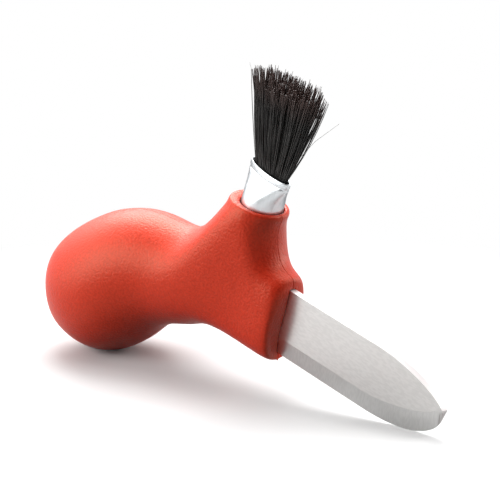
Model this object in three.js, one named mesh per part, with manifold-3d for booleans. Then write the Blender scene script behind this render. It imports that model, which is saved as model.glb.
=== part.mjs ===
// Mushroom knife: a short fixed blade and a cleaning brush in one moulded handle.
// The handle is two shells, joined on the knife's middle plane, that grip the blade's tang and the
// brush's metal cup. Millimetres and degrees.
//
// Knife frame, used by every piece: +X runs along the blade to its tip, +Z runs along the brush,
// y = 0 is the middle plane, and the origin is half way up the blade where it leaves the handle.
// The finished group is then turned and lifted so that the knife rests on its bulb and blade tip.
import * as THREE from "three";
import { mergeVertices } from "three/addons/utils/BufferGeometryUtils.js";
import Module from "manifold-3d";

const wasm = await Module();
wasm.setup();

// Fit between pieces that touch on the real knife
const SEAT_GAP = 0.3;

// Blade
const BLADE_LENGTH = 61.8;
const BLADE_WIDTH = 21.5;
const BLADE_THICKNESS = 2.4;
const EDGE_THICKNESS = 0.3;
const BEVEL_WIDTH = 5.7;
const SPINE_RUN = 37.3;
const EDGE_RUN = 34;
const TIP_HEIGHT = 2.4;
const TIP_BLUNTNESS = 1.6;
const BEVEL_END_SETBACK = 2;

// Tang, left at the thickness of the strip that the blade is blanked from
const TANG_THICKNESS = 2.6;
const TANG_WIDTH = 12;
const TANG_LENGTH = 40;
const HEEL_DEPTH = 4;
const PIN_DIAMETER = 4;
const PIN_LENGTH = 13;
const FRONT_PIN_DEPTH = 11;
const PIN_SPACING = 21;

// Brush: its cup is round in the handle and pressed flat at the mouth, which is long along the
// blade but for a small turn about the brush axis
const BRUSH_SETBACK = 18.9;
const FERRULE_DIAMETER = 13.2;
const FERRULE_WALL = 0.5;
const FERRULE_SHOWN = 11.2;
const FERRULE_SEATED = 15;
const FERRULE_ROUND_RISE = 0.8;
const MOUTH_LENGTH = 19.6;
const MOUTH_WIDTH = 5.8;
const BRUSH_TURN = -13;
const FLANGE_WIDTH = 1;
const FLANGE_THICKNESS = 1.2;
const BEAD_DEPTH = 0.25;
const BEAD_HEIGHT = 1.2;
const BEAD_BELOW_RIM = 2;
const BRISTLE_PITCH = 0.4;
const BRISTLE_RADIUS = 0.12;
const BRISTLE_SHOWN = 27;
const TUFT_END_LENGTH = 30.5;
const TUFT_END_WIDTH = 15;
const TUFT_DOME = 1.8;
const TRIM_UNEVENNESS = 1.2;
const SETTING_HEIGHT = 9;
const BACKING_THICKNESS = 2;

// Handle
const BULB_DIAMETER = 43.1;
const BULB_BACK = 23.5;
const BULB_TILT = 53.8;
const BULB_BEHIND_FRONT = 70;
const BULB_BELOW_BLADE = 23.1;
const BULB_LEAD = 19.7;
const BULB_TO_WAIST = 40.2;
const WAIST_EASE = 1.26;
const WAIST_HEIGHT = 31.8;
const WAIST_WIDTH = 27.9;
const NOSE_TOP_SETBACK = 2.6;
const NOSE_TOP_HEIGHT = 14.5;
const NOSE_BOTTOM_SETBACK = 1.8;
const NOSE_BOTTOM_DROP = 13.2;
const NOSE_WIDTH = 16.8;
const NOSE_ROUND = 2.4;
const NOSE_FULLNESS = 1.12;
const NOSE_LEAD = 33.4;
const CHEEK_TOP_SETBACK = 7.4;
const CHEEK_TOP_HEIGHT = 17.2;
const CHEEK_BOTTOM_SETBACK = 21.7;
const CHEEK_BOTTOM_DROP = 13.5;
const CHEEK_WIDTH = 19.2;
const COLLAR_TOP = 30.5;
const COLLAR_LENGTH = 19.5;
const COLLAR_WIDTH = 18.5;
const COLLAR_BEHIND_BRUSH = 1.1;
const COLLAR_ROOT_HEIGHT = 24.2;
const COLLAR_ROOT_LENGTH = 21.2;
const COLLAR_ROOT_WIDTH = 21.1;
const COLLAR_ROOT_BEHIND_BRUSH = 2.2;
const HANDLE_WALL = 2.8;
const CAVITY_REACH = 26;
const RIB_THICKNESS = 1.6;
const RIB_STATIONS = [-12, 12];
const BOSS_DIAMETER = 7;
const DOWEL_DIAMETER = 3;
const DOWEL_LENGTH = 4;
const DOWEL_ROOT = 1;
const DOWEL_CLEAR_OF_TANG = 2.5;

// Helpers that turn three.js geometry into solids, and solids into meshes
const MERGE_DISTANCE = 1e-4;
const CROSS_SIDES = 20;
const TURNED_SIDES = 32;
const ARC_STEPS = 10;
const radians = THREE.MathUtils.degToRad;

function solid(geometry) {
  const bare = new THREE.BufferGeometry();
  bare.setAttribute("position", geometry.getAttribute("position"));
  if (geometry.index) bare.setIndex(geometry.index);
  const merged = mergeVertices(bare, MERGE_DISTANCE);
  const corners = merged.index.array;
  const kept = [];
  for (let i = 0; i < corners.length; i += 3) {
    const [a, b, c] = [corners[i], corners[i + 1], corners[i + 2]];
    if (a !== b && b !== c && c !== a) kept.push(a, b, c);
  }
  return new wasm.Manifold(
    new wasm.Mesh({
      numProp: 3,
      vertProperties: new Float32Array(merged.attributes.position.array),
      triVerts: new Uint32Array(kept),
    }),
  );
}

function mesh(name, made, material) {
  const result = made.getMesh();
  const geometry = new THREE.BufferGeometry();
  geometry.setAttribute("position", new THREE.BufferAttribute(result.vertProperties, 3));
  geometry.setIndex(new THREE.BufferAttribute(result.triVerts, 1));
  geometry.computeVertexNormals();
  const object = new THREE.Mesh(geometry, material);
  object.name = name;
  return object;
}

// A closed solid through rings of points, each ring an array of Vector3 with the same count. Seen
// from the last ring, the points go round to the left.
function loft(rings) {
  const count = rings[0].length;
  const points = rings.flat().flatMap((p) => [p.x, p.y, p.z]);
  const faces = [];
  for (let r = 0; r + 1 < rings.length; r++) {
    for (let k = 0; k < count; k++) {
      const a = r * count + k;
      const b = r * count + ((k + 1) % count);
      faces.push(a, b, b + count, a, b + count, a + count);
    }
  }
  const last = (rings.length - 1) * count;
  for (let k = 1; k + 1 < count; k++) {
    faces.push(0, k + 1, k, last, last + k, last + k + 1);
  }
  const geometry = new THREE.BufferGeometry();
  geometry.setAttribute("position", new THREE.Float32BufferAttribute(points, 3));
  geometry.setIndex(faces);
  return solid(geometry);
}

function box(low, high) {
  const size = new THREE.Vector3().subVectors(high, low);
  const geometry = new THREE.BoxGeometry(size.x, size.y, size.z);
  const centre = new THREE.Vector3().addVectors(low, high).multiplyScalar(0.5);
  return solid(geometry.translate(centre.x, centre.y, centre.z));
}

// A cylinder whose axis runs across the knife, along y.
function crossCylinder(x, z, radius, fromY, toY) {
  const geometry = new THREE.CylinderGeometry(radius, radius, toY - fromY, CROSS_SIDES);
  return solid(geometry.translate(x, (fromY + toY) / 2, z));
}

// A solid turned about the brush axis, from [radius, height] pairs that close on themselves.
function turned(profile) {
  const outline = profile.map(([radius, height]) => new THREE.Vector2(radius, height));
  const geometry = new THREE.LatheGeometry(outline, TURNED_SIDES);
  return solid(onBrushAxis(geometry.rotateX(Math.PI / 2)));
}

// Geometry, or a point, drawn with the brush axis as its z axis is put in its place in the knife.
function onBrushAxis(drawn) {
  const place = new THREE.Matrix4().makeRotationZ(radians(BRUSH_TURN));
  return drawn.applyMatrix4(place.setPosition(-BRUSH_SETBACK, 0, 0));
}

// Catmull-Clark subdivision of a closed cage: points are Vector3, faces are lists of point indices.
function subdivide({ points, faces }) {
  const sum = () => ({ total: new THREE.Vector3(), count: 0 });
  const add = (entry, p) => {
    entry.total.add(p);
    entry.count += 1;
  };
  const centres = faces.map((face) => {
    const entry = sum();
    face.forEach((i) => add(entry, points[i]));
    return entry.total.divideScalar(entry.count);
  });
  const edges = new Map();
  const faceSums = points.map(sum);
  const edgeSums = points.map(sum);
  faces.forEach((face, f) => {
    face.forEach((a, k) => {
      const b = face[(k + 1) % face.length];
      const key = a < b ? `${a}_${b}` : `${b}_${a}`;
      if (!edges.has(key)) edges.set(key, { ends: [a, b], sides: [] });
      edges.get(key).sides.push(centres[f]);
      add(faceSums[a], centres[f]);
    });
  });
  const next = points.map(() => null);
  for (const edge of edges.values()) {
    const [a, b] = edge.ends.map((i) => points[i]);
    const middle = new THREE.Vector3().addVectors(a, b).multiplyScalar(0.5);
    edge.ends.forEach((i) => add(edgeSums[i], middle));
    const point = new THREE.Vector3().add(a).add(b);
    edge.sides.forEach((side) => point.add(side));
    edge.index = next.push(point.divideScalar(4)) - 1;
  }
  const centreIndex = centres.map((centre) => next.push(centre) - 1);
  points.forEach((p, i) => {
    const n = faceSums[i].count;
    const faceMean = faceSums[i].total.clone().divideScalar(n);
    const edgeMean = edgeSums[i].total.clone().divideScalar(n);
    next[i] = p.clone().multiplyScalar(n - 3).add(faceMean).addScaledVector(edgeMean, 2).divideScalar(n);
  });
  const edgeIndex = (a, b) => edges.get(a < b ? `${a}_${b}` : `${b}_${a}`).index;
  const quads = faces.flatMap((face, f) =>
    face.map((a, k) => {
      const before = face[(k + face.length - 1) % face.length];
      const after = face[(k + 1) % face.length];
      return [a, edgeIndex(a, after), centreIndex[f], edgeIndex(before, a)];
    }),
  );
  return { points: next, faces: quads };
}

// The smooth surface that passes through a cage's own points: the cage is swelled until, after
// subdivision, each of its points lies where it was drawn.
const SMOOTH_LEVELS = 2;
const SWELL_ROUNDS = 12;

function smoothThrough(drawn) {
  const smooth = (cage) => {
    let result = cage;
    for (let level = 0; level < SMOOTH_LEVELS; level++) result = subdivide(result);
    return result;
  };
  let cage = drawn;
  for (let round = 0; round < SWELL_ROUNDS; round++) {
    const reached = smooth(cage).points;
    const points = cage.points.map((p, i) => p.clone().add(drawn.points[i]).sub(reached[i]));
    cage = { points, faces: drawn.faces };
  }
  const { points, faces } = smooth(cage);
  const geometry = new THREE.BufferGeometry();
  const numbers = points.flatMap((p) => [p.x, p.y, p.z]);
  geometry.setAttribute("position", new THREE.Float32BufferAttribute(numbers, 3));
  geometry.setIndex(faces.flatMap(([a, b, c, d]) => [a, b, c, a, c, d]));
  return solid(geometry);
}

// Blade: sections along its length, each with a spine, two flat sides and two ground bevels

// Height of a line that runs straight to x = run and then sweeps to meet the end point.
function sweptLine(x, startHeight, run, endX, endHeight, fullness) {
  if (x <= run) return startHeight;
  const share = Math.min(1, (x - run) / (endX - run));
  const fall = (1 - share ** fullness) ** (1 / fullness);
  return endHeight + (startHeight - endHeight) * fall;
}

const SPINE_FULLNESS = 1.5;
const BEVEL_FULLNESS = 1.5;
const EDGE_FULLNESS = 2.2;
const BLADE_STATIONS = 13;
const LEAST_FLAT = 0.01;
const TANG_LAP = 0.5;

// A section at x, made larger all round by grow for the slot that the blade sits in.
function bladeSection(x, grow = 0) {
  const halfWidth = BLADE_WIDTH / 2;
  const spineEnd = TIP_HEIGHT + TIP_BLUNTNESS / 2;
  const edgeEnd = TIP_HEIGHT - TIP_BLUNTNESS / 2;
  const spine = sweptLine(x, halfWidth, SPINE_RUN, BLADE_LENGTH, spineEnd, SPINE_FULLNESS);
  const edge = sweptLine(x, -halfWidth, EDGE_RUN, BLADE_LENGTH, edgeEnd, EDGE_FULLNESS);
  const bevelEnd = BLADE_LENGTH - BEVEL_END_SETBACK;
  const bevelLine = sweptLine(x, BEVEL_WIDTH - halfWidth, EDGE_RUN, bevelEnd, spineEnd, BEVEL_FULLNESS);
  const bevel = Math.min(bevelLine, spine);
  const share = (bevel - edge) / (bevelLine - edge);
  const halfEdge = EDGE_THICKNESS / 2;
  const half = halfEdge + (BLADE_THICKNESS / 2 - halfEdge) * share;
  const corners = [
    [half + grow, spine + grow],
    [half + grow, Math.min(bevel, spine - LEAST_FLAT)],
    [halfEdge + grow, edge - grow],
  ];
  const right = corners.map(([y, z]) => new THREE.Vector3(x, -y, z));
  const left = corners.map(([y, z]) => new THREE.Vector3(x, y, z)).reverse();
  return [...right, ...left];
}

function bladeSolid() {
  const rings = [bladeSection(-HEEL_DEPTH), bladeSection(EDGE_RUN)];
  for (let k = 1; k <= BLADE_STATIONS; k++) {
    const turn = (Math.PI / 2) * (k / BLADE_STATIONS);
    rings.push(bladeSection(EDGE_RUN + (BLADE_LENGTH - EDGE_RUN) * Math.sin(turn)));
  }
  return loft(rings);
}

const pinPlaces = [-FRONT_PIN_DEPTH, -FRONT_PIN_DEPTH - PIN_SPACING];

function tangSolid() {
  const end = TANG_WIDTH / 2;
  const outline = new THREE.Shape();
  outline.moveTo(TANG_LAP - HEEL_DEPTH, -end);
  outline.lineTo(TANG_LAP - HEEL_DEPTH, end);
  outline.lineTo(end - TANG_LENGTH, end);
  outline.absarc(end - TANG_LENGTH, 0, end, Math.PI / 2, (3 * Math.PI) / 2, false);
  outline.closePath();
  for (const x of pinPlaces) {
    const hole = new THREE.Path();
    hole.absarc(x, 0, PIN_DIAMETER / 2 + SEAT_GAP, 0, 2 * Math.PI, true);
    outline.holes.push(hole);
  }
  const options = { depth: TANG_THICKNESS, bevelEnabled: false, curveSegments: ARC_STEPS };
  const geometry = new THREE.ExtrudeGeometry(outline, options);
  return solid(geometry.rotateX(Math.PI / 2).translate(0, TANG_THICKNESS / 2, 0));
}

// Brush: a drawn metal cup, the resin set in it, and the bristle tuft

const ferruleRadius = FERRULE_DIAMETER / 2;
const ferruleFoot = COLLAR_TOP - FERRULE_SEATED;
const ferruleRim = COLLAR_TOP + FERRULE_SHOWN;
const cupRadius = ferruleRadius - FERRULE_WALL;
const cupFloor = ferruleFoot + FERRULE_WALL;
const pressFoot = COLLAR_TOP + FERRULE_ROUND_RISE;

const PRESS_STEPS = 5;

// An oval ring round the brush axis.
function ovalRing(height, halfLength, halfWidth) {
  return Array.from({ length: TURNED_SIDES }, (_, k) => {
    const angle = (2 * Math.PI * k) / TURNED_SIDES;
    const point = new THREE.Vector3(halfLength * Math.cos(angle), halfWidth * Math.sin(angle), height);
    return onBrushAxis(point);
  });
}

// A ring of the cup at a height, inset from its outer wall: the round foot eases into the flat mouth.
function cupRing(height, inset) {
  const ease = THREE.MathUtils.smoothstep(height, pressFoot, ferruleRim);
  const fromBead = Math.abs(height - (ferruleRim - BEAD_BELOW_RIM)) / (BEAD_HEIGHT / 2);
  const pinch = inset + BEAD_DEPTH * Math.max(0, 1 - fromBead);
  const halfLength = THREE.MathUtils.lerp(ferruleRadius, MOUTH_LENGTH / 2, ease) - pinch;
  const halfWidth = THREE.MathUtils.lerp(ferruleRadius, MOUTH_WIDTH / 2, ease) - pinch;
  return ovalRing(height, halfLength, halfWidth);
}

function ferruleSolid() {
  const beadFoot = ferruleRim - BEAD_BELOW_RIM - BEAD_HEIGHT / 2;
  const heights = [pressFoot];
  for (let k = 1; k <= PRESS_STEPS; k++) {
    heights.push(pressFoot + ((beadFoot - pressFoot) * k) / PRESS_STEPS);
  }
  heights.push(beadFoot + BEAD_HEIGHT / 2, beadFoot + BEAD_HEIGHT, ferruleRim);
  const outer = loft([cupRing(ferruleFoot, 0), ...heights.map((height) => cupRing(height, 0))]);
  const inside = [cupFloor, ...heights].map((height) => cupRing(height, FERRULE_WALL));
  const overRim = inside.at(-1).map((point) => point.clone().setZ(ferruleRim + FERRULE_WALL));
  const flange = discSolid(ferruleRadius + FLANGE_WIDTH, ferruleFoot, FLANGE_THICKNESS);
  return outer.add(flange).subtract(loft([...inside, overRim]));
}

const settingFoot = cupFloor + SEAT_GAP;
const settingRadius = cupRadius - SEAT_GAP;
const backingFoot = settingFoot + SETTING_HEIGHT + SEAT_GAP;

function discSolid(radius, foot, height) {
  return turned([
    [0, foot],
    [radius, foot],
    [radius, foot + height],
    [0, foot + height],
  ]);
}

// A repeatable number from 0 to 1 for each bristle's place.
const SCATTER_STRIDES = [12.9898, 78.233];
const SCATTER_GAIN = 43758.5453;

function scatter(row, column) {
  const wave = Math.sin(row * SCATTER_STRIDES[0] + column * SCATTER_STRIDES[1]) * SCATTER_GAIN;
  return wave - Math.floor(wave);
}

const STRAND_SIDES = 3;

function strandRing(along, across, height, turn) {
  return Array.from({ length: STRAND_SIDES }, (_, k) => {
    const angle = turn + (2 * Math.PI * k) / STRAND_SIDES;
    const point = new THREE.Vector3(Math.cos(angle), Math.sin(angle), 0).multiplyScalar(BRISTLE_RADIUS);
    return onBrushAxis(point.add(new THREE.Vector3(along, across, height)));
  });
}

// Bristles stand in staggered rows that fill the mouth, gather to a rounder bundle in the resin and
// fan out to the trimmed end. Each step only stretches the pattern, so no two bristles cross.
function tuftSolid() {
  const inset = FERRULE_WALL + BEAD_DEPTH + SEAT_GAP + BRISTLE_RADIUS;
  const mouth = new THREE.Vector2(MOUTH_LENGTH / 2 - inset, MOUTH_WIDTH / 2 - inset);
  const end = new THREE.Vector2(TUFT_END_LENGTH / 2, TUFT_END_WIDTH / 2).divide(mouth);
  const gather = (settingRadius - 2 * BRISTLE_RADIUS) / mouth.x;
  const rootHeight = backingFoot + BACKING_THICKNESS / 2;
  const rowPitch = (BRISTLE_PITCH * Math.sqrt(3)) / 2;
  const rows = Math.floor(mouth.y / rowPitch);
  const columns = Math.ceil(mouth.x / BRISTLE_PITCH);
  const pieces = [discSolid(settingRadius, backingFoot, BACKING_THICKNESS)];
  for (let row = -rows; row <= rows; row++) {
    const stagger = (Math.abs(row) % 2) / 2;
    for (let column = -columns; column <= columns; column++) {
      const along = (column + stagger) * BRISTLE_PITCH;
      const across = row * rowPitch;
      const outwards = (along / mouth.x) ** 2 + (across / mouth.y) ** 2;
      if (outwards > 1) continue;
      const turn = 2 * Math.PI * scatter(row, column);
      const trim = TUFT_DOME * (1 - outwards) + TRIM_UNEVENNESS * (2 * scatter(column, row) - 1);
      const rings = [
        strandRing(along * gather, across / gather, rootHeight, turn),
        strandRing(along * gather, across / gather, pressFoot, turn),
        strandRing(along, across, ferruleRim, turn),
        strandRing(along * end.x, across * end.y, ferruleRim + BRISTLE_SHOWN + trim, turn),
      ];
      pieces.push(loft(rings));
    }
  }
  return wasm.Manifold.union(pieces);
}

// Handle: one smooth body drawn as rings of eight points, then split into two shells

const bulbCentre = new THREE.Vector2(-BULB_BEHIND_FRONT, -BULB_BELOW_BLADE);
const bulbAxis = new THREE.Vector2(Math.cos(radians(BULB_TILT)), Math.sin(radians(BULB_TILT)));
const noseCentre = new THREE.Vector2(
  -(NOSE_TOP_SETBACK + NOSE_BOTTOM_SETBACK) / 2,
  (NOSE_TOP_HEIGHT - NOSE_BOTTOM_DROP) / 2,
);
const spine = new THREE.CubicBezierCurve(
  bulbCentre,
  bulbCentre.clone().addScaledVector(bulbAxis, BULB_LEAD),
  noseCentre.clone().sub(new THREE.Vector2(NOSE_LEAD, 0)),
  noseCentre,
);
const spineLength = spine.getLength();

// Place and direction on the grip's centre line, a distance ahead of the bulb's widest section.
function gripPlace(distance) {
  if (distance <= 0) {
    return { centre: bulbCentre.clone().addScaledVector(bulbAxis, distance), axis: bulbAxis };
  }
  const share = distance / spineLength;
  return { centre: spine.getPointAt(share), axis: spine.getTangentAt(share) };
}

const RING_POINTS = 8;

// A ring of points in the knife's middle plane and across it. Point 0 is at centre + up, and the
// points go round by way of +y. Fullness above 1 pushes the slanting points out to square the ring.
function ringAt(centre, up, halfWidth, fullness = 1, count = RING_POINTS) {
  return Array.from({ length: count }, (_, k) => {
    const angle = (2 * Math.PI * k) / count;
    const swell = 1 + (fullness - 1) * Math.abs(Math.sin(2 * angle));
    const rise = Math.cos(angle) * swell;
    return new THREE.Vector3(
      centre.x + up.x * rise,
      halfWidth * Math.sin(angle) * swell,
      centre.y + up.y * rise,
    );
  });
}

// A ring square across the grip's centre line, point 0 on top.
function gripRing(distance, halfHeight, halfWidth, count = RING_POINTS) {
  const { centre, axis } = gripPlace(distance);
  const up = new THREE.Vector2(-axis.y, axis.x).multiplyScalar(halfHeight);
  return ringAt(centre, up, halfWidth, 1, count);
}

// A ring square across the brush axis, point 0 at the back.
function collarRing(height, halfLength, halfWidth, behind) {
  const centre = new THREE.Vector2(-BRUSH_SETBACK - behind, height);
  return ringAt(centre, new THREE.Vector2(-halfLength, 0), halfWidth);
}

// A ring across the handle's head, through a top and a bottom point of the middle plane.
function headRing(top, bottom, width) {
  const centre = top.clone().add(bottom).multiplyScalar(0.5);
  const up = top.clone().sub(bottom).multiplyScalar(0.5);
  return ringAt(centre, up, width / 2, NOSE_FULLNESS);
}

// Half sizes of the grip a distance ahead of the bulb's widest section, less an inset.
function gripHalves(distance, inset) {
  const bulb = BULB_DIAMETER / 2;
  if (distance <= 0) {
    const back = BULB_BACK - inset;
    const half = (bulb - inset) * Math.sqrt(Math.max(0, 1 - (distance / back) ** 2));
    return [half, half];
  }
  const share = ((1 - Math.cos((Math.PI * distance) / BULB_TO_WAIST)) / 2) ** WAIST_EASE;
  return [WAIST_HEIGHT / 2, WAIST_WIDTH / 2].map((waist) => bulb + (waist - bulb) * share - inset);
}

const BULB_RING_ANGLES = [-64, -32, 0];
const GRIP_RING_SHARES = [1 / 3, 2 / 3, 1];

function handleCage() {
  const points = [];
  const faces = [];
  const place = (ring) => ring.map((p) => points.push(p) - 1);
  const strip = (a, b, pairs) => {
    for (let k = 0; k + 1 < pairs.length; k++) {
      faces.push([a[pairs[k][0]], b[pairs[k][1]], b[pairs[k + 1][1]], a[pairs[k + 1][0]]]);
    }
  };
  const around = Array.from({ length: RING_POINTS + 1 }, (_, k) => [k % RING_POINTS, k % RING_POINTS]);
  const cap = (ring, centre, outward) => {
    const [middle] = place([centre]);
    for (let k = 0; k < RING_POINTS; k += 2) {
      const face = [middle, ring[k], ring[k + 1], ring[(k + 2) % RING_POINTS]];
      faces.push(outward ? face : face.reverse());
    }
  };

  const bulbStations = BULB_RING_ANGLES.map((angle) => BULB_BACK * Math.sin(radians(angle)));
  const gripStations = GRIP_RING_SHARES.map((share) => BULB_TO_WAIST * share);
  const grip = [...bulbStations, ...gripStations].map((distance) =>
    place(gripRing(distance, ...gripHalves(distance, 0))),
  );
  for (let k = 0; k + 1 < grip.length; k++) strip(grip[k], grip[k + 1], around);
  const { centre: tail } = gripPlace(-BULB_BACK);
  cap(grip[0], new THREE.Vector3(tail.x, 0, tail.y), true);

  const waist = grip.at(-1);
  const cheek = place(
    headRing(
      new THREE.Vector2(-CHEEK_TOP_SETBACK, CHEEK_TOP_HEIGHT),
      new THREE.Vector2(-CHEEK_BOTTOM_SETBACK, -CHEEK_BOTTOM_DROP),
      CHEEK_WIDTH,
    ),
  );
  const noseTop = new THREE.Vector2(-NOSE_TOP_SETBACK, NOSE_TOP_HEIGHT);
  const noseBottom = new THREE.Vector2(-NOSE_BOTTOM_SETBACK, -NOSE_BOTTOM_DROP);
  const nose = place(headRing(noseTop, noseBottom, NOSE_WIDTH));
  const faceTop = noseTop.clone().add(new THREE.Vector2(NOSE_ROUND, -NOSE_ROUND));
  const faceBottom = noseBottom.clone().add(new THREE.Vector2(NOSE_ROUND, NOSE_ROUND));
  const face = place(headRing(faceTop, faceBottom, NOSE_WIDTH - 2 * NOSE_ROUND));
  strip(cheek, nose, around);
  strip(nose, face, around);
  const faceCentre = faceTop.clone().add(faceBottom).multiplyScalar(0.5);
  cap(face, new THREE.Vector3(faceCentre.x, 0, faceCentre.y), false);

  const root = place(
    collarRing(COLLAR_ROOT_HEIGHT, COLLAR_ROOT_LENGTH / 2, COLLAR_ROOT_WIDTH / 2, COLLAR_ROOT_BEHIND_BRUSH),
  );
  const above = 2 * COLLAR_TOP - COLLAR_ROOT_HEIGHT;
  const [middle, top] = [COLLAR_TOP, above].map((height) =>
    place(collarRing(height, COLLAR_LENGTH / 2, COLLAR_WIDTH / 2, COLLAR_BEHIND_BRUSH)),
  );
  strip(root, middle, around);
  strip(middle, top, around);
  cap(top, new THREE.Vector3(-BRUSH_SETBACK - COLLAR_BEHIND_BRUSH, 0, above), false);

  const upperHalf = [6, 7, 0, 1, 2];
  const lowerHalf = [2, 3, 4, 5, 6];
  const overTop = (k) => (RING_POINTS + RING_POINTS / 2 - k) % RING_POINTS;
  strip(waist, root, upperHalf.map((k) => [k, k]));
  strip(waist, cheek, lowerHalf.map((k) => [k, k]));
  strip(cheek, root, lowerHalf.map((k) => [overTop(k), k]));
  faces.push([waist[2], root[2], cheek[2]], [waist[6], cheek[6], root[6]]);
  return { points, faces };
}

// The hollow of the bulb. Two ribs and a middle boss are left standing in it.
const CAVITY_SIDES = 24;
const CAVITY_BACK_ANGLES = [-78, -58, -38, -19, 0];
const CAVITY_STEPS = 4;

function cavitySolid() {
  const back = BULB_BACK - HANDLE_WALL;
  const stations = CAVITY_BACK_ANGLES.map((angle) => back * Math.sin(radians(angle)));
  for (let k = 1; k <= CAVITY_STEPS; k++) stations.push((CAVITY_REACH * k) / CAVITY_STEPS);
  const ring = (d) => gripRing(d, ...gripHalves(d, HANDLE_WALL), CAVITY_SIDES);
  let cavity = loft(stations.map(ring).reverse());
  for (const station of RIB_STATIONS) {
    const side = (d) => gripRing(d, BULB_DIAMETER, BULB_DIAMETER);
    const rib = loft([side(station + RIB_THICKNESS / 2), side(station - RIB_THICKNESS / 2)]);
    cavity = cavity.subtract(rib);
  }
  const boss = crossCylinder(bulbCentre.x, bulbCentre.y, BOSS_DIAMETER / 2, -BULB_DIAMETER, BULB_DIAMETER);
  return cavity.subtract(boss);
}

// The seats of the blade, its tang, the tang pins and the brush's cup, each with its fit.
function seatSolid() {
  const halfTang = TANG_THICKNESS / 2 + SEAT_GAP;
  const halfTangWidth = TANG_WIDTH / 2 + SEAT_GAP;
  const tang = box(
    new THREE.Vector3(-TANG_LENGTH - SEAT_GAP, -halfTang, -halfTangWidth),
    new THREE.Vector3(-HEEL_DEPTH, halfTang, halfTangWidth),
  );
  const blade = loft([bladeSection(-HEEL_DEPTH - SEAT_GAP, SEAT_GAP), bladeSection(EDGE_RUN, SEAT_GAP)]);
  const pinReach = PIN_LENGTH / 2 + SEAT_GAP;
  const pinHoles = pinPlaces.map((x) =>
    crossCylinder(x, 0, PIN_DIAMETER / 2 + SEAT_GAP, -pinReach, pinReach),
  );
  const socket = ferruleRadius + SEAT_GAP;
  const socketFlange = socket + FLANGE_WIDTH;
  const flangeTop = ferruleFoot + FLANGE_THICKNESS + SEAT_GAP;
  const cup = turned([
    [0, ferruleFoot - SEAT_GAP],
    [socketFlange, ferruleFoot - SEAT_GAP],
    [socketFlange, flangeTop],
    [socket, flangeTop],
    [socket, ferruleRim],
    [0, ferruleRim],
  ]);
  const aboveCollar = box(
    new THREE.Vector3(-BULB_BEHIND_FRONT, -BULB_DIAMETER, COLLAR_TOP),
    new THREE.Vector3(BLADE_LENGTH, BULB_DIAMETER, COLLAR_TOP + BULB_DIAMETER),
  );
  return wasm.Manifold.union([tang, blade, ...pinHoles, cup, aboveCollar]);
}

// Pegs on the left shell locate it in sockets of the right shell: on the bulb's boss, below the
// front tang pin and above the rear one.
const dowelRise = TANG_WIDTH / 2 + DOWEL_CLEAR_OF_TANG + DOWEL_DIAMETER / 2;
const dowelPlaces = [
  [bulbCentre.x, bulbCentre.y],
  [pinPlaces[0], -dowelRise],
  [pinPlaces[1], dowelRise],
];

function shellSolids() {
  const body = smoothThrough(handleCage()).subtract(cavitySolid()).subtract(seatSolid());
  const reach = 2 * BULB_BEHIND_FRONT;
  const leftSide = box(new THREE.Vector3(-reach, 0, -reach), new THREE.Vector3(reach, reach, reach));
  const rightSide = box(new THREE.Vector3(-reach, -reach, -reach), new THREE.Vector3(reach, 0, reach));
  const radius = DOWEL_DIAMETER / 2;
  const pegs = dowelPlaces.map(([x, z]) => crossCylinder(x, z, radius, -DOWEL_LENGTH, DOWEL_ROOT));
  const sockets = dowelPlaces.map(([x, z]) =>
    crossCylinder(x, z, radius + SEAT_GAP, -DOWEL_LENGTH - SEAT_GAP, DOWEL_ROOT),
  );
  const left = wasm.Manifold.union([body.intersect(leftSide), ...pegs]);
  const right = body.intersect(rightSide).subtract(wasm.Manifold.union(sockets));
  return { left, right };
}

// Materials, in the colours of the photo
const redPlastic = () => new THREE.MeshStandardMaterial({ color: 0xd0483c, roughness: 0.5 });
const steel = () => new THREE.MeshStandardMaterial({ color: 0xc8c4c0, roughness: 0.35, metalness: 1 });
const aluminium = () => new THREE.MeshStandardMaterial({ color: 0xe4e7e7, roughness: 0.3, metalness: 1 });
const resin = () => new THREE.MeshStandardMaterial({ color: 0x3a3026, roughness: 0.4 });
const bristle = () => new THREE.MeshStandardMaterial({ color: 0x353535, roughness: 0.6 });

const shells = shellSolids();
const knife = new THREE.Group();
knife.name = "mushroom_knife";
const blade = mesh("blade", wasm.Manifold.union([bladeSolid(), tangSolid()]), steel());
const pins = ["tang_pin_front", "tang_pin_rear"].map((name, k) =>
  mesh(
    name,
    crossCylinder(pinPlaces[k], 0, PIN_DIAMETER / 2, -PIN_LENGTH / 2, PIN_LENGTH / 2),
    steel(),
  ),
);
knife.add(
  mesh("handle_shell_left", shells.left, redPlastic()),
  mesh("handle_shell_right", shells.right, redPlastic()),
  blade,
  ...pins,
  mesh("brush_ferrule", ferruleSolid(), aluminium()),
  mesh("bristle_setting", discSolid(settingRadius, settingFoot, SETTING_HEIGHT), resin()),
  mesh("bristle_tuft", tuftSolid(), bristle()),
);

// Rest pose: the tilt at which the bulb and the blade tip are equally low, found by halving.
const lowest = (object, turn) => {
  const corners = object.geometry.getAttribute("position");
  let low = Infinity;
  for (let i = 0; i < corners.count; i++) {
    low = Math.min(low, corners.getZ(i) * Math.cos(turn) - corners.getX(i) * Math.sin(turn));
  }
  return low;
};
const STEEPEST_TILT = 45;
const TILT_HALVINGS = 40;
let [tiltLow, tiltHigh] = [0, radians(STEEPEST_TILT)];
for (let k = 0; k < TILT_HALVINGS; k++) {
  const tilt = (tiltLow + tiltHigh) / 2;
  const bulbIsLower = lowest(knife.getObjectByName("handle_shell_left"), tilt) < lowest(blade, tilt);
  if (bulbIsLower) tiltLow = tilt;
  else tiltHigh = tilt;
}
knife.rotation.y = tiltHigh;
knife.updateMatrixWorld(true);
const extent = new THREE.Box3().setFromObject(knife, true);
const middle = extent.getCenter(new THREE.Vector3());
knife.position.set(-middle.x, 0, -extent.min.z);

export default knife;
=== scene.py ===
import math
import random

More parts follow.
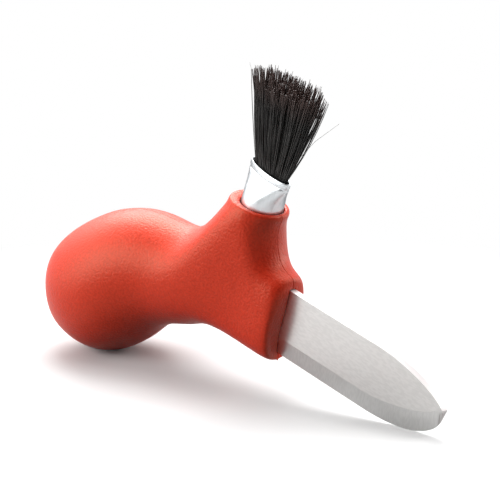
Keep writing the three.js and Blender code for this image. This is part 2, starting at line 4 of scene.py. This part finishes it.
import bpy
from mathutils import Matrix, Vector


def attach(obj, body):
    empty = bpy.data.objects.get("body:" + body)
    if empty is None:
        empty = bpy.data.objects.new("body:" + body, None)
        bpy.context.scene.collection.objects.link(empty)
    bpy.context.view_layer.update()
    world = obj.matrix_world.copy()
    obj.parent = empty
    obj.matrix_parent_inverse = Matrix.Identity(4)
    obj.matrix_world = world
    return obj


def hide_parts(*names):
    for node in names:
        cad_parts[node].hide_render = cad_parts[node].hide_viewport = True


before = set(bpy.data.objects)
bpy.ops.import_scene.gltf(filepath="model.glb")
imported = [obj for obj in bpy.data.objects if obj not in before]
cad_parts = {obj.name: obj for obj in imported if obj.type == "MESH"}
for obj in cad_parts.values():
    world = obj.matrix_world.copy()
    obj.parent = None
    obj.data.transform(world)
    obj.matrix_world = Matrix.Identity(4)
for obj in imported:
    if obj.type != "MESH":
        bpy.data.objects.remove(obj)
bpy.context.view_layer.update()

# Blade. It is blanked from stainless strip with its tang, ground to a flat bevel on both sides and
# left with a satin face. The tang sits between the handle halves, where two steel pins hold it.
MM = 0.001
MERGE_GAP = 0.001 * MM
BLADE_EDGE_BREAK = 0.12 * MM
BLADE_COPLANAR = math.radians(0.4)
BLADE_BREAK_ANGLE = math.radians(35)
BLADE_SMOOTH_ANGLE = math.radians(8)
BEVEL_NORMAL_LIMIT = 0.995
EDGE_NORMAL_LIMIT = 0.9
FACE_MARKS = 2083
BEVEL_MARKS = 2400
EDGE_MARKS = 300
MARK_ROUGHNESS = 0.01
NOISE_MIDDLE = (0.3, 0.7)
TINT_MIDDLE = (0.35, 0.65)
# The knife rests on its bulb and its blade tip, with the brush up. In its own frame the blade runs
# along +X and the brush along +Z, from the point where the blade leaves the handle. This is the turn
# and the shift that bring that frame to rest.
REST_TILT = math.radians(17.371)
REST_SHIFT = Vector((18.246, 0, 23.438)) * MM


def merged_copy(node, name):
    """A merged copy of a CAD node that can be reworked while the node itself stays untouched."""
    bpy.ops.object.select_all(action="DESELECT")
    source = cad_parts[node]
    source.select_set(True)
    bpy.context.view_layer.objects.active = source
    bpy.ops.object.duplicate()
    piece = bpy.context.active_object
    piece.parent = None
    piece.name = name
    piece.data.name = name
    for key in list(piece.keys()):
        del piece[key]
    piece.data.materials.clear()
    bpy.ops.mesh.customdata_custom_splitnormals_clear()
    bpy.ops.object.mode_set(mode="EDIT")
    bpy.ops.mesh.select_all(action="SELECT")
    bpy.ops.mesh.remove_doubles(threshold=MERGE_GAP)
    bpy.ops.object.mode_set(mode="OBJECT")
    return piece


def apply_modifier(piece, kind, **settings):
    """Adds a modifier with its settings and applies it."""
    bpy.context.view_layer.objects.active = piece
    modifier = piece.modifiers.new(kind.lower(), kind)
    for setting, value in settings.items():
        setattr(modifier, setting, value)
    bpy.ops.object.modifier_apply(modifier=modifier.name)


def new_finish(name, colour, roughness, metallic=0.0):
    """A material with its uniform values on the shader, and the node tools to add detail to it."""
    material = bpy.data.materials.new(name)
    material.use_nodes = True
    nodes = material.node_tree.nodes
    shader = nodes["Principled BSDF"]
    shader.inputs["Base Color"].default_value = (*colour, 1)
    shader.inputs["Roughness"].default_value = roughness
    shader.inputs["Metallic"].default_value = metallic
    return material, nodes, material.node_tree.links, shader


def stretched_noise(nodes, links, stretch, scale, detail):
    """Noise on Object coordinates, turned into the knife's own frame and stretched along its axes."""
    place = nodes.new("ShaderNodeTexCoord")
    mapping = nodes.new("ShaderNodeMapping")
    mapping.vector_type = "TEXTURE"
    mapping.inputs["Location"].default_value = REST_SHIFT
    mapping.inputs["Rotation"].default_value = (0, REST_TILT, 0)
    mapping.inputs["Scale"].default_value = stretch
    noise = nodes.new("ShaderNodeTexNoise")
    noise.inputs["Scale"].default_value = scale
    noise.inputs["Detail"].default_value = detail
    links.new(place.outputs["Object"], mapping.inputs["Vector"])
    links.new(mapping.outputs["Vector"], noise.inputs["Vector"])
    return noise


def spread(nodes, links, source, low, high, target):
    """Maps a noise from its usual middle range to a range of values on a shader socket."""
    ramp = nodes.new("ShaderNodeMapRange")
    ramp.inputs["From Min"].default_value = NOISE_MIDDLE[0]
    ramp.inputs["From Max"].default_value = NOISE_MIDDLE[1]
    ramp.inputs["To Min"].default_value = low
    ramp.inputs["To Max"].default_value = high
    links.new(source.outputs["Fac"], ramp.inputs["Value"])
    links.new(ramp.outputs["Result"], target)


def tint(nodes, links, source, dark, light, shader):
    """Colours a surface between two shades by a noise."""
    ramp = nodes.new("ShaderNodeValToRGB")
    ramp.color_ramp.elements[0].position = TINT_MIDDLE[0]
    ramp.color_ramp.elements[0].color = (*dark, 1)
    ramp.color_ramp.elements[1].position = TINT_MIDDLE[1]
    ramp.color_ramp.elements[1].color = (*light, 1)
    links.new(source.outputs["Fac"], ramp.inputs["Fac"])
    links.new(ramp.outputs["Color"], shader.inputs["Base Color"])


def steel_finish(name, dark, light, stretch, scale, roughness):
    """Stainless steel with grinding marks along the axis of the longest stretch."""
    material, nodes, links, shader = new_finish(name, light, roughness, metallic=1)
    marks = stretched_noise(nodes, links, stretch, scale, 0)
    tint(nodes, links, marks, dark, light, shader)
    low, high = roughness - MARK_ROUGHNESS, roughness + MARK_ROUGHNESS
    spread(nodes, links, marks, low, high, shader.inputs["Roughness"])
    return material


blade = merged_copy("blade", "blade_ground")
bpy.ops.object.mode_set(mode="EDIT")
bpy.ops.mesh.select_all(action="SELECT")
bpy.ops.mesh.dissolve_limited(angle_limit=BLADE_COPLANAR)
bpy.ops.object.mode_set(mode="OBJECT")
apply_modifier(
    blade, "BEVEL", width=BLADE_EDGE_BREAK, segments=2, limit_method="ANGLE", angle_limit=BLADE_BREAK_ANGLE
)
bpy.ops.object.shade_smooth_by_angle(angle=BLADE_SMOOTH_ANGLE)
satin_face = steel_finish(
    "satin steel face", (0.75, 0.735, 0.718), (0.8, 0.784, 0.767), (3, 1, 1), FACE_MARKS, 0.295
)
ground_bevel = steel_finish(
    "ground steel bevel", (0.81, 0.803, 0.79), (0.86, 0.853, 0.84), (1, 1, 7), BEVEL_MARKS, 0.3
)
sheared_edge = steel_finish(
    "sheared steel edge", (0.5, 0.475, 0.47), (0.56, 0.53, 0.525), (5, 1, 1), EDGE_MARKS, 0.5
)
blade.data.materials.append(satin_face)
blade.data.materials.append(ground_bevel)
blade.data.materials.append(sheared_edge)
for face in blade.data.polygons:
    lean = abs(face.normal.y)
    if lean < EDGE_NORMAL_LIMIT:
        face.material_index = 2
    elif lean < BEVEL_NORMAL_LIMIT:
        face.material_index = 1
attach(blade, "root")
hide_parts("blade")

for pin in ("tang_pin_front", "tang_pin_rear"):
    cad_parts[pin].data.materials.clear()
    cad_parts[pin].data.materials.append(satin_face)

# Handle. Two half shells of red polypropylene are moulded with a fine spark-eroded grain, pressed
# together on the middle plane over the tang and the brush's cup, and welded along that seam.
GRAIN_SCALE = 1500
GRAIN_STRENGTH = 0.6
GRAIN_DEPTH = 0.3 * MM
SKIN_ANGLE = math.radians(38)
QUAD_BEND = math.radians(60)
QUAD_SHAPE = math.radians(80)
COLLAR_CUT = 28.0 * MM
COLLAR_FOOT = 20 * MM
SEAM_WIDTH = 0.05 * MM
SEAM_BREAK = 0.3 * MM
SHELL_WALL = 1.5 * MM
SMOOTH_ANGLE = math.radians(40)
BRUSH_SETBACK = 18.9 * MM
COLLAR_CENTRE = -20 * MM
COLLAR_HALVES = (9.75 * MM, 9.25 * MM)
BORE_RADIUS = 6.95 * MM
SHOULDER = ((29.3 * MM, 0), (30.25 * MM, 0.25 * MM), (30.5 * MM, 1.0 * MM))
LIP = ((30.48 * MM, 0.3 * MM), (30.25 * MM, 0), (28.6 * MM, 0))
knife_to_rest = Matrix.Translation(REST_SHIFT) @ Matrix.Rotation(REST_TILT, 4, "Y")
rest_to_knife = knife_to_rest.inverted()


def relief(nodes, links, source, strength, depth, shader):
    """Raises a noise on a surface as fine relief."""
    bump = nodes.new("ShaderNodeBump")
    bump.inputs["Strength"].default_value = strength
    bump.inputs["Distance"].default_value = depth
    links.new(source.outputs["Fac"], bump.inputs["Height"])
    links.new(bump.outputs["Normal"], shader.inputs["Normal"])


red_plastic, nodes, links, shader = new_finish("grained red plastic", (0.73, 0.04, 0.0155), 0.38)
grain = stretched_noise(nodes, links, (1, 1, 1), GRAIN_SCALE, 2)
tint(nodes, links, grain, (0.67, 0.034, 0.013), (0.79, 0.046, 0.018), shader)
shader.inputs["Specular IOR Level"].default_value = 0.45
shader.inputs["Specular Tint"].default_value = (1, 0.75, 0.5, 1)
spread(nodes, links, grain, 0.32, 0.42, shader.inputs["Roughness"])
relief(nodes, links, grain, GRAIN_STRENGTH, GRAIN_DEPTH, shader)


def raise_collar(half, centre, halves, height):
    """Extrudes the selected half ring and lays its points on an oval at a height."""
    bpy.ops.mesh.extrude_region_move()
    bpy.ops.object.mode_set(mode="OBJECT")
    for vertex in half.data.vertices:
        if vertex.select:
            turn = math.atan2(vertex.co.y, vertex.co.x - centre)
            vertex.co = (centre + halves[0] * math.cos(turn), halves[1] * math.sin(turn), height)
    bpy.ops.object.mode_set(mode="EDIT")


for side, outward in (("left", 1), ("right", -1)):
    half = merged_copy("handle_shell_" + side, "handle_half_" + side)
    half.matrix_world = rest_to_knife
    bpy.ops.object.transform_apply()
    bpy.ops.object.mode_set(mode="EDIT")
    bpy.ops.mesh.select_mode(type="FACE")
    bpy.ops.mesh.select_all(action="DESELECT")
    bpy.ops.object.mode_set(mode="OBJECT")
    outermost = max(half.data.polygons, key=lambda face: outward * face.center.y)
    outermost.select = True
    bpy.ops.object.mode_set(mode="EDIT")
    bpy.ops.mesh.faces_select_linked_flat(sharpness=SKIN_ANGLE)
    bpy.ops.mesh.select_all(action="INVERT")
    bpy.ops.mesh.delete(type="FACE")
    bpy.ops.mesh.select_all(action="SELECT")
    bpy.ops.mesh.tris_convert_to_quads(
        face_threshold=QUAD_BEND, shape_threshold=QUAD_SHAPE, topology_influence=1
    )
    bpy.ops.mesh.select_all(action="DESELECT")
    bpy.ops.object.mode_set(mode="OBJECT")
    for face in half.data.polygons:
        face.select = face.center.z > COLLAR_CUT
    bpy.ops.object.mode_set(mode="EDIT")
    bpy.ops.mesh.delete(type="FACE")
    bpy.ops.mesh.select_mode(type="EDGE")
    bpy.ops.mesh.select_non_manifold()
    bpy.ops.object.mode_set(mode="OBJECT")
    points = half.data.vertices
    for edge in half.data.edges:
        ends = [points[k].co for k in edge.vertices]
        on_seam = all(abs(end.y) < SEAM_WIDTH for end in ends)
        if on_seam or ends[0].z < COLLAR_FOOT:
            edge.select = False
    bpy.ops.object.mode_set(mode="EDIT")
    for height, inset in SHOULDER:
        raise_collar(half, COLLAR_CENTRE, [size - inset for size in COLLAR_HALVES], height)
    for height, inset in LIP:
        raise_collar(half, -BRUSH_SETBACK, [BORE_RADIUS + inset] * 2, height)
    bpy.ops.object.mode_set(mode="OBJECT")
    apply_modifier(half, "SUBSURF", levels=2, render_levels=2, boundary_smooth="PRESERVE_CORNERS")
    for vertex in half.data.vertices:
        if abs(vertex.co.y) < SEAM_WIDTH:
            vertex.co.y = 0
    skin_points = len(half.data.vertices)
    apply_modifier(half, "SOLIDIFY", thickness=SHELL_WALL, offset=-1)
    bpy.ops.object.mode_set(mode="EDIT")
    bpy.ops.mesh.select_all(action="DESELECT")
    bpy.ops.object.mode_set(mode="OBJECT")
    points = half.data.vertices
    for edge in half.data.edges:
        edge.select = all(k < skin_points and abs(points[k].co.y) < SEAM_WIDTH for k in edge.vertices)
    bpy.ops.object.mode_set(mode="EDIT")
    bpy.ops.mesh.bevel(offset=SEAM_BREAK, segments=2, affect="EDGES", clamp_overlap=False)
    bpy.ops.object.mode_set(mode="OBJECT")
    half.matrix_world = knife_to_rest
    bpy.ops.object.transform_apply()
    bpy.ops.object.shade_smooth_by_angle(angle=SMOOTH_ANGLE)
    half.data.materials.append(red_plastic)
    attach(half, "root")
    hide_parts("handle_shell_" + side)

# Brush cup. Aluminium drawn to a flanged cup, pressed flat at its mouth over the bristles and
# crimped with a bead below the rim. Its flange is trapped between the handle halves.
BRUSH_TURN = math.radians(-13)
CUP_SIDES = 64
CUP_RADIUS = 6.6 * MM
CUP_FOOT = 15.5 * MM
CUP_RIM = 41.7 * MM
CUP_WALL = 0.5 * MM
FLANGE_WIDTH = 1 * MM
FLANGE_THICKNESS = 1.2 * MM
PRESS_FOOT = 31.3 * MM
MOUTH_HALF = (9.8 * MM, 2.9 * MM)
BEAD_BELOW_RIM = 2 * MM
BEAD_HEIGHT = 1.2 * MM
BEAD_DEPTH = 0.25 * MM
BEAD_STEPS = 4
PRESS_STEPS = 12
CUP_EDGE_BREAK = 0.12 * MM
CUP_BREAK_ANGLE = math.radians(50)
DRAWING_MARKS = 1500
brush_to_rest = (
    knife_to_rest @ Matrix.Translation((-BRUSH_SETBACK, 0, 0)) @ Matrix.Rotation(BRUSH_TURN, 4, "Z")
)


def cup_halves(height):
    """Half length and half width of the cup's outer wall at a height on the brush axis."""
    share = min(1, max(0, (height - PRESS_FOOT) / (CUP_RIM - PRESS_FOOT)))
    ease = share * share * (3 - 2 * share)
    from_bead = abs(height - CUP_RIM + BEAD_BELOW_RIM) / (BEAD_HEIGHT / 2)
    pinch = BEAD_DEPTH * max(0, 1 - from_bead)
    return [CUP_RADIUS + (half - CUP_RADIUS) * ease - pinch for half in MOUTH_HALF]


def raise_ring(rise, length_scale, width_scale):
    """Extrudes the selected ring of edges upwards and sizes it to the next section."""
    bpy.ops.mesh.extrude_region_move(TRANSFORM_OT_translate={"value": (0, 0, rise)})
    bpy.ops.transform.resize(value=(length_scale, width_scale, 1))


bpy.ops.object.select_all(action="DESELECT")
bpy.ops.mesh.primitive_circle_add(
    vertices=CUP_SIDES, radius=CUP_RADIUS + FLANGE_WIDTH, fill_type="NGON", location=(0, 0, CUP_FOOT)
)
cup = bpy.context.active_object
cup.name = "brush_cup"
cup.data.name = "brush_cup"
bpy.ops.object.transform_apply()
bpy.ops.object.mode_set(mode="EDIT")
bpy.ops.mesh.select_all(action="SELECT")
raise_ring(FLANGE_THICKNESS, 1, 1)
flange_share = CUP_RADIUS / (CUP_RADIUS + FLANGE_WIDTH)
raise_ring(0, flange_share, flange_share)
bead_foot = CUP_RIM - BEAD_BELOW_RIM - BEAD_HEIGHT / 2
heights = [PRESS_FOOT + (bead_foot - PRESS_FOOT) * k / PRESS_STEPS for k in range(PRESS_STEPS + 1)]
heights += [bead_foot + BEAD_HEIGHT * k / BEAD_STEPS for k in range(1, BEAD_STEPS + 1)]
heights.append(CUP_RIM)
height = CUP_FOOT + FLANGE_THICKNESS
halves = (CUP_RADIUS, CUP_RADIUS)
for next_height in heights:
    next_halves = cup_halves(next_height)
    raise_ring(next_height - height, next_halves[0] / halves[0], next_halves[1] / halves[1])
    height, halves = next_height, next_halves
bpy.ops.mesh.delete(type="ONLY_FACE")
bpy.ops.mesh.select_all(action="SELECT")
bpy.ops.mesh.normals_make_consistent(inside=False)
bpy.ops.object.mode_set(mode="OBJECT")
apply_modifier(cup, "SOLIDIFY", thickness=CUP_WALL, offset=-1, use_even_offset=True)
apply_modifier(
    cup, "BEVEL", width=CUP_EDGE_BREAK, segments=3, limit_method="ANGLE", angle_limit=CUP_BREAK_ANGLE
)
cup.matrix_world = brush_to_rest
bpy.ops.object.transform_apply()
bpy.ops.object.shade_smooth_by_angle(angle=SMOOTH_ANGLE)

aluminium, nodes, links, shader = new_finish("bright aluminium", (0.81, 0.84, 0.86), 0.35, metallic=1)
drawn = stretched_noise(nodes, links, (1, 1, 16), DRAWING_MARKS, 3)
tint(nodes, links, drawn, (0.78, 0.81, 0.83), (0.84, 0.87, 0.89), shader)
shader.inputs["Specular Tint"].default_value = (0.1, 0.105, 0.11, 1)
spread(nodes, links, drawn, 0.32, 0.38, shader.inputs["Roughness"])
cup.data.materials.append(aluminium)
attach(cup, "root")
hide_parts("brush_ferrule")

# Setting resin. A dark casting resin is poured into the bottom of the cup around the roots of the
# bristles, where it sets hard and locks them in.
RESIN_FLOW = 300
resin, nodes, links, shader = new_finish("setting resin", (0.06, 0.045, 0.03), 0.3)
flow = stretched_noise(nodes, links, (1, 1, 1), RESIN_FLOW, 2)
tint(nodes, links, flow, (0.05, 0.036, 0.024), (0.075, 0.056, 0.038), shader)
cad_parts["bristle_setting"].data.materials.clear()
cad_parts["bristle_setting"].data.materials.append(resin)

# Bristles. Stiff black hair is gathered in the flat mouth, fans out above it in clumps and is trimmed
# unevenly, with two hairs that have sprung loose. Each hair is a tapering strand with a slight bend.
BRISTLE_SEED = 7
BRISTLE_COUNT = 950
BRISTLE_RADIUS = 0.14 * MM
BRISTLE_ROOT = 26.6 * MM
BRISTLE_END = 68.6 * MM
BRISTLE_DOME = 1.6 * MM
BRISTLE_TOP = 99.6 * MM
END_SLOPE = (0.7 * MM, 0.9 * MM)
ROOT_BUNDLE = (5.4 * MM, 2.9 * MM)
MOUTH_BUNDLE = (8.2 * MM, 2 * MM)
END_BUNDLE = (16 * MM, 7.3 * MM)
END_CENTRE = -1.2 * MM
FAN_BOW = 2.6 * MM
CLUMP_COUNT = 120
CLUMP_PULL = 0.45
CLUMP_SPREAD = 0.5 * MM
TRIM_SPREAD = 1 * MM
CLUMP_TRIM = (-1, 0.7)
HAIR_TRIM = (-1, 0.6)
BOW_RANGE = (0.6, 1.4)
WIDTH_RANGE = (0.75, 1.2)
SHADE_WEIGHTS = (5, 3, 2)
GREY_SHADE = 2
HAIR_STEPS = 6
HAIR_TIP = 0.6
HAIR_MARKS = 1500
WORN_LENGTH = 7 * MM
WORN_BROWN = (0.085, 0.05, 0.043)
LOOSE_HAIR_RADIUS = 0.06 * MM
LOOSE_HAIRS = (
    ((7, 0, 42), (10.2, 0, 49.5), (12.8, 0, 54), (16, 0, 59), (24, 0, 68.3)),
    ((-7, 0, 42), (-10.6, 0, 50), (-14.6, 0, 58.5), (-18.3, 0, 63.5), (-22, 0, 67)),
)
GOLDEN_ANGLE = math.pi * (3 - math.sqrt(5))
draw = random.Random(BRISTLE_SEED)


def spiral_place(index, count):
    """Place of one of many points spread evenly over a unit disc."""
    reach = math.sqrt((index + 0.5) / count)
    return Vector((reach * math.cos(index * GOLDEN_ANGLE), reach * math.sin(index * GOLDEN_ANGLE)))


def add_hair(stations, radius, shade):
    """Adds a strand through its stations that narrows at the tip."""
    hair = hairs.splines.new("POLY")
    hair.points.add(len(stations) - 1)
    for point, station in zip(hair.points, stations):
        point.co = (*station, 1)
        point.radius = radius
    hair.points[-1].radius = radius * HAIR_TIP
    hair.material_index = shade


def bristle_finish(name, dark, light):
    """Dull hair that turns brownish towards its trimmed end."""
    material, nodes, links, shader = new_finish(name, light, 0.45)
    strand = stretched_noise(nodes, links, (1, 1, 25), HAIR_MARKS, 2)
    tint(nodes, links, strand, dark, light, shader)
    place = nodes.new("ShaderNodeTexCoord")
    height = nodes.new("ShaderNodeVectorMath")
    height.operation = "DOT_PRODUCT"
    height.inputs[1].default_value = rest_to_knife.row[2].to_3d()
    worn = nodes.new("ShaderNodeMapRange")
    worn.inputs["From Min"].default_value = BRISTLE_END - WORN_LENGTH - rest_to_knife.translation.z
    worn.inputs["From Max"].default_value = BRISTLE_END - rest_to_knife.translation.z
    ends = nodes.new("ShaderNodeMix")
    ends.data_type = "RGBA"
    ends.inputs["B"].default_value = (*WORN_BROWN, 1)
    links.new(place.outputs["Object"], height.inputs[0])
    links.new(height.outputs["Value"], worn.inputs["Value"])
    links.new(worn.outputs["Result"], ends.inputs["Factor"])
    links.new(shader.inputs["Base Color"].links[0].from_socket, ends.inputs["A"])
    links.new(ends.outputs["Result"], shader.inputs["Base Color"])
    return material


hairs = bpy.data.curves.new("bristle_brush", "CURVE")
hairs.dimensions = "3D"
hairs.bevel_depth = BRISTLE_RADIUS
hairs.bevel_resolution = 0
hairs.use_fill_caps = True
clumps = []
for index in range(CLUMP_COUNT):
    lift = draw.uniform(*CLUMP_TRIM) * TRIM_SPREAD
    clumps.append((spiral_place(index, CLUMP_COUNT), lift, draw.gauss(0, CLUMP_SPREAD)))
for index in range(BRISTLE_COUNT):
    place = spiral_place(index, BRISTLE_COUNT)
    clump, lift, lean = min(clumps, key=lambda entry: (entry[0] - place).length)
    end = place.lerp(clump, CLUMP_PULL)
    along = END_CENTRE + end.x * END_BUNDLE[0] + lean + draw.gauss(0, CLUMP_SPREAD)
    across = end.y * END_BUNDLE[1] + draw.gauss(0, CLUMP_SPREAD)
    trim = lift + draw.uniform(*HAIR_TRIM) * TRIM_SPREAD
    slope = END_SLOPE[0] * end.x + END_SLOPE[1] * end.y
    dome = BRISTLE_DOME * (1 - end.length_squared)
    tip = Vector((along, across, BRISTLE_END + dome + slope + trim))
    tip.z -= max(0, (brush_to_rest @ tip).z - BRISTLE_TOP)
    root = Vector((place.x * ROOT_BUNDLE[0], place.y * ROOT_BUNDLE[1], BRISTLE_ROOT))
    mouth = Vector((place.x * MOUTH_BUNDLE[0], place.y * MOUTH_BUNDLE[1], CUP_RIM))
    stations = [root, Vector((root.x, root.y, PRESS_FOOT))]
    bow = FAN_BOW * draw.uniform(*BOW_RANGE)
    sway = draw.gauss(0, CLUMP_SPREAD)
    for step in range(HAIR_STEPS + 1):
        share = step / HAIR_STEPS
        station = mouth.lerp(tip, share)
        station.x += bow * share * (1 - share)
        station.y += sway * math.sin(math.pi * share)
        stations.append(station)
    shade = draw.choices((0, 1, 2), weights=SHADE_WEIGHTS)[0]
    add_hair(stations, draw.uniform(*WIDTH_RANGE), shade)
for loose in LOOSE_HAIRS:
    stations = [Vector(station) * MM for station in loose]
    add_hair(stations, LOOSE_HAIR_RADIUS / BRISTLE_RADIUS, GREY_SHADE)
bristles = bpy.data.objects.new("bristle_brush", hairs)
bpy.context.scene.collection.objects.link(bristles)
black_hair = bristle_finish("black bristle", (0.02, 0.018, 0.017), (0.042, 0.038, 0.035))
bristles.data.materials.append(black_hair)
brown_hair = bristle_finish("brown bristle", (0.045, 0.036, 0.032), (0.09, 0.073, 0.064))
bristles.data.materials.append(brown_hair)
grey_hair = bristle_finish("grey bristle", (0.085, 0.077, 0.072), (0.17, 0.157, 0.147))
bristles.data.materials.append(grey_hair)
bristles.matrix_world = brush_to_rest
bpy.ops.object.select_all(action="DESELECT")
bristles.select_set(True)
bpy.context.view_layer.objects.active = bristles
bpy.ops.object.convert(target="MESH")
bristles = bpy.context.active_object
bpy.ops.object.transform_apply()
bpy.ops.object.shade_smooth()
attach(bristles, "root")
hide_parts("bristle_tuft")

# Floor. A plain white paper sweep that keeps the knife's soft shadow and turns to pure white away
# from it. It throws little light back up, so the handle's underside stays deep.
FLOOR_SIZE = 8
SHADOW_REACH = 0.1
WHITE_FROM = 0.2
FLOOR_SEEN = 0.77
FLOOR_BOUNCE = 0.15
FLOOR_MIRRORED = 0.5
bpy.ops.object.select_all(action="DESELECT")
bpy.ops.mesh.primitive_plane_add(size=FLOOR_SIZE, location=(0, 0, 0))
floor = bpy.context.active_object
floor.name = "floor"
paper, nodes, links, shader = new_finish("white paper", (FLOOR_SEEN, FLOOR_SEEN, FLOOR_SEEN), 1)
shader.inputs["Specular IOR Level"].default_value = 0
place = nodes.new("ShaderNodeTexCoord")
distance = nodes.new("ShaderNodeVectorMath")
distance.operation = "LENGTH"
fade = nodes.new("ShaderNodeMapRange")
fade.interpolation_type = "SMOOTHSTEP"
fade.inputs["From Min"].default_value = SHADOW_REACH
fade.inputs["From Max"].default_value = WHITE_FROM
path = nodes.new("ShaderNodeLightPath")
shade = nodes.new("ShaderNodeMix")
shade.data_type = "RGBA"
shade.inputs["B"].default_value = (FLOOR_BOUNCE, FLOOR_BOUNCE, FLOOR_BOUNCE, 1)
glow = nodes.new("ShaderNodeEmission")
white = nodes.new("ShaderNodeMath")
white.operation = "MULTIPLY"
blend = nodes.new("ShaderNodeMixShader")
mirrored = nodes.new("ShaderNodeMix")
mirrored.data_type = "RGBA"
mirrored.inputs["A"].default_value = (FLOOR_SEEN, FLOOR_SEEN, FLOOR_SEEN, 1)
mirrored.inputs["B"].default_value = (FLOOR_MIRRORED, FLOOR_MIRRORED, FLOOR_MIRRORED, 1)
links.new(path.outputs["Is Glossy Ray"], mirrored.inputs["Factor"])
links.new(mirrored.outputs["Result"], shade.inputs["A"])
links.new(path.outputs["Is Diffuse Ray"], shade.inputs["Factor"])
links.new(shade.outputs["Result"], shader.inputs["Base Color"])
links.new(place.outputs["Object"], distance.inputs[0])
links.new(distance.outputs["Value"], fade.inputs["Value"])
links.new(fade.outputs["Result"], white.inputs[0])
links.new(path.outputs["Is Camera Ray"], white.inputs[1])
links.new(white.outputs["Value"], blend.inputs["Fac"])
links.new(shader.outputs["BSDF"], blend.inputs[1])
links.new(glow.outputs["Emission"], blend.inputs[2])
links.new(blend.outputs["Shader"], nodes["Material Output"].inputs["Surface"])
floor.data.materials.append(paper)

# Light. Broad soft lamps above, behind and on the left with weaker ones on the right, and a white
# backdrop that shows only to the camera and in the polished and grazed surfaces.
BACKDROP_TOWARDS = Vector((-0.666, 0.746, 0.1))
BACKDROP_EDGE = -0.1
BACKDROP_FULL = 0.5
studio = bpy.data.worlds.new("white backdrop")
bpy.context.scene.world = studio
studio.use_nodes = True
nodes = studio.node_tree.nodes
links = studio.node_tree.links
place = nodes.new("ShaderNodeTexCoord")
facing = nodes.new("ShaderNodeVectorMath")
facing.operation = "DOT_PRODUCT"
facing.inputs[1].default_value = BACKDROP_TOWARDS.normalized()
level = nodes.new("ShaderNodeMapRange")
level.interpolation_type = "SMOOTHSTEP"
level.inputs["From Min"].default_value = BACKDROP_EDGE
level.inputs["From Max"].default_value = BACKDROP_FULL
path = nodes.new("ShaderNodeLightPath")
glossy = nodes.new("ShaderNodeMath")
glossy.operation = "MULTIPLY"
shown = nodes.new("ShaderNodeMath")
shown.operation = "MAXIMUM"
links.new(place.outputs["Generated"], facing.inputs[0])
links.new(facing.outputs["Value"], level.inputs["Value"])
links.new(level.outputs["Result"], glossy.inputs[0])
links.new(path.outputs["Is Glossy Ray"], glossy.inputs[1])
links.new(glossy.outputs["Value"], shown.inputs[0])
links.new(path.outputs["Is Camera Ray"], shown.inputs[1])
links.new(shown.outputs["Value"], nodes["Background"].inputs["Strength"])
nodes["Background"].inputs["Color"].default_value = (1, 1, 1, 1)

LAMP_SIZE = 0.6
LAMP_AIM = Vector((0, 0, 30)) * MM
LAMPS = {
    "lamp_top": ((0, 0, 0.95), 2.4),
    "lamp_top_back": ((-0.26, 0.291, 0.866), 5.5),
    "lamp_top_left": ((-0.501, -0.447, 0.672), 1.2),
    "lamp_left": ((-0.688, -0.614, 0.23), 2.4),
    "lamp_back_top": ((-0.56, 0.46, 0.63), 5.6),
    "lamp_back_left": ((-0.738, 0.042, 0.597), 2.2),
    "lamp_right_top": ((0.501, 0.447, 0.672), 2.7),
    "lamp_left_front": ((-0.384, -0.772, 0.4), 5.2),
    "lamp_right": ((0.442, 0.8, 0.259), 3.2),
}
for name, (spot, power) in LAMPS.items():
    bpy.ops.object.light_add(type="AREA", location=spot)
    lamp = bpy.context.active_object
    lamp.name = name
    lamp.data.size = LAMP_SIZE
    lamp.data.energy = power
    aim = LAMP_AIM - Vector(spot)
    lamp.rotation_euler = aim.to_track_quat("-Z", "Y").to_euler()

# Camera. It looks from the knife's right front and a little above with a long lens, at the
# photograph's angle.
AZIMUTH = math.radians(41.76)
ELEVATION = math.radians(13.82)
DISTANCE = 600 * MM
TARGET = Vector((4.27, 0, 43.22)) * MM
LENS = 142.56
SENSOR = 36
back = Vector(
    (
        math.sin(AZIMUTH) * math.cos(ELEVATION),
        -math.cos(AZIMUTH) * math.cos(ELEVATION),
        math.sin(ELEVATION),
    )
)
bpy.ops.object.camera_add(location=TARGET + DISTANCE * back)
camera = bpy.context.active_object
camera.rotation_euler = back.to_track_quat("Z", "Y").to_euler()
camera.data.sensor_width = SENSOR
camera.data.lens = LENS
bpy.context.scene.camera = camera
bpy.context.scene.view_settings.view_transform = "Standard"
